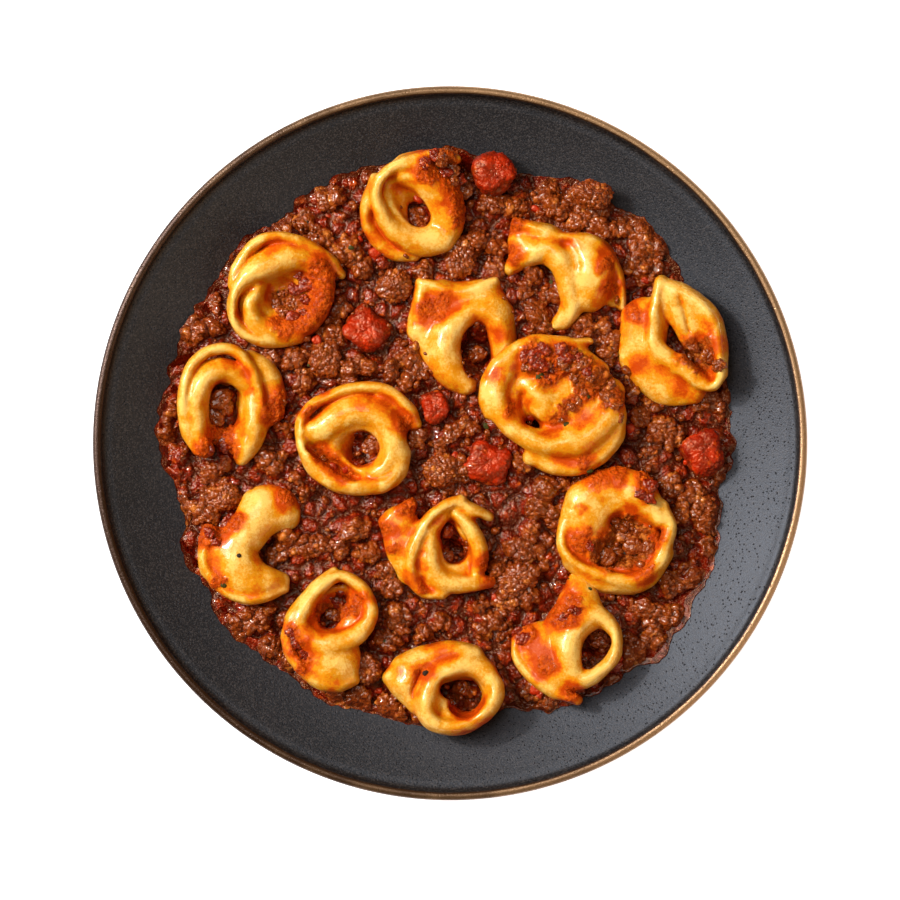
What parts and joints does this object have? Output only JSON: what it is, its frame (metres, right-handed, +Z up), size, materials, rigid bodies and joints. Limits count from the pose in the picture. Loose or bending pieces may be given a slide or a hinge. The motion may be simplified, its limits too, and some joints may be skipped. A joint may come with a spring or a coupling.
{
  "type": "tortellini in meat sauce on a plate",
  "caption": "Tortellini in a heap of minced meat and tomato sauce, served on a round dark coupe plate with a bronze rim.",
  "frame": {"origin": "middle of the plate's foot, on the surface it stands on", "axes": "+Z up out of the plate; +Y is the edge shown at the top when the plate is looked at from straight above, +X to the right"},
  "size_m": [0.23, 0.23, 0.0303],
  "materials": {
    "plate_glaze": "speckled charcoal glaze with a bronze lip",
    "meat_sauce": "glossy red-brown meat sauce",
    "pasta": "moist egg pasta, sauce-stained",
    "tomato": "glossy cooked tomato",
    "meat": "moist browned mince"
  },
  "bodies": {
    "root": {"meat_lump_01": "meat", "meat_lump_02": "meat", "meat_lump_03": "meat", "meat_lump_04": "meat", "meat_lump_05": "meat", "meat_lump_06": "meat", "meat_lump_07": "meat", "meat_lump_08": "meat", "plate": "plate_glaze", "sauce": "meat_sauce", "tomato_1": "tomato", "tomato_2": "tomato", "tomato_3": "tomato", "tomato_4": "tomato", "tomato_5": "tomato", "tortellino_01": "pasta", "tortellino_02": "pasta", "tortellino_03": "pasta", "tortellino_04": "pasta", "tortellino_05": "pasta", "tortellino_06": "pasta", "tortellino_07": "pasta", "tortellino_08": "pasta", "tortellino_09": "pasta", "tortellino_10": "pasta", "tortellino_11": "pasta", "tortellino_12": "pasta", "tortellino_13": "pasta", "tortellino_14": "pasta"}
  },
  "joints": []
}
